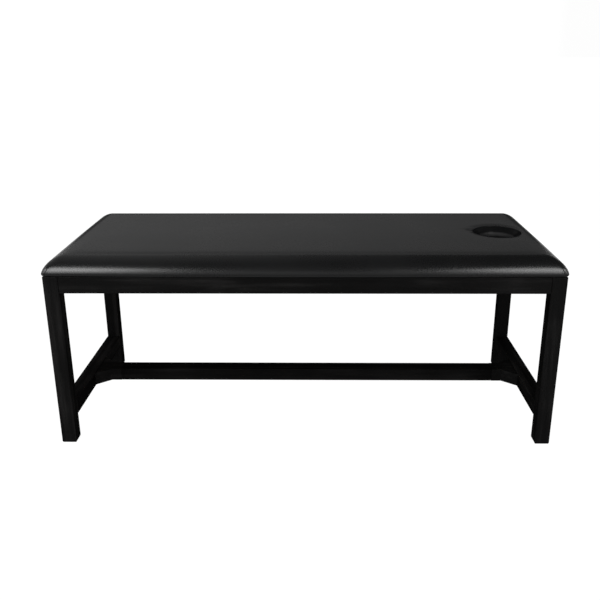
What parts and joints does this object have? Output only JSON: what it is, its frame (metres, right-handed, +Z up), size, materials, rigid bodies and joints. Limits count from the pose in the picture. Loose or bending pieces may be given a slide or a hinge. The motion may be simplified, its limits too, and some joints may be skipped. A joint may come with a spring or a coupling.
{
  "type": "massage table",
  "caption": "Stationary padded massage table: square timber legs, aprons and an H of low stretchers under a one-piece vinyl top with a round face hole near one end.",
  "frame": {"origin": "on the floor, midway between the feet, under the middle of the top", "axes": "+X along the table's length towards the end with the face hole, +Y across it towards the rear, +Z up"},
  "size_m": [1.86, 0.784, 0.735],
  "materials": {
    "black_timber": "satin",
    "black_vinyl": "satin",
    "cream_foam": "matte",
    "birch_plywood": "matte",
    "beech": "matte",
    "black_steel": "satin",
    "zinc_steel": "satin",
    "black_felt": "matte"
  },
  "bodies": {
    "root": {"apron_front": "black_timber", "apron_left": "black_timber", "apron_rear": "black_timber", "apron_right": "black_timber", "barrel_nut_left": "zinc_steel", "barrel_nut_right": "zinc_steel", "bearer_left": "beech", "bearer_middle": "beech", "bearer_right": "beech", "block_screw_front_left_end": "zinc_steel", "block_screw_front_left_long": "zinc_steel", "block_screw_front_right_end": "zinc_steel", "block_screw_front_right_long": "zinc_steel", "block_screw_rear_left_end": "zinc_steel", "block_screw_rear_left_long": "zinc_steel", "block_screw_rear_right_end": "zinc_steel", "block_screw_rear_right_long": "zinc_steel", "corner_block_front_left": "beech", "corner_block_front_right": "beech", "corner_block_rear_left": "beech", "corner_block_rear_right": "beech", "deck_board": "birch_plywood", "deck_screw_front_left": "zinc_steel", "deck_screw_front_middle": "zinc_steel", "deck_screw_front_right": "zinc_steel", "deck_screw_rear_left": "zinc_steel", "deck_screw_rear_middle": "zinc_steel", "deck_screw_rear_right": "zinc_steel", "end_stretcher_left": "black_timber", "end_stretcher_right": "black_timber", "face_hole_lining": "black_vinyl", "foam_pad": "cream_foam", "foot_pad_front_left": "black_felt", "foot_pad_front_right": "black_felt", "foot_pad_rear_left": "black_felt", "foot_pad_rear_right": "black_felt", "gusset_left": "black_timber", "gusset_right": "black_timber", "hanger_bolt_front_left": "zinc_steel", "hanger_bolt_front_right": "zinc_steel", "hanger_bolt_rear_left": "zinc_steel", "hanger_bolt_rear_right": "zinc_steel", "hanger_nut_front_left": "zinc_steel", "hanger_nut_front_right": "zinc_steel", "hanger_nut_rear_left": "zinc_steel", "hanger_nut_rear_right": "zinc_steel", "leg_front_left": "black_timber", "leg_front_right": "black_timber", "leg_rear_left": "black_timber", "leg_rear_right": "black_timber", "long_stretcher": "black_timber", "seam_dowel_front_left": "beech", "seam_dowel_front_right": "beech", "seam_dowel_rear_left": "beech", "seam_dowel_rear_right": "beech", "stretcher_bolt_left": "black_steel", "stretcher_bolt_right": "black_steel", "vinyl_cover": "black_vinyl"}
  },
  "joints": []
}
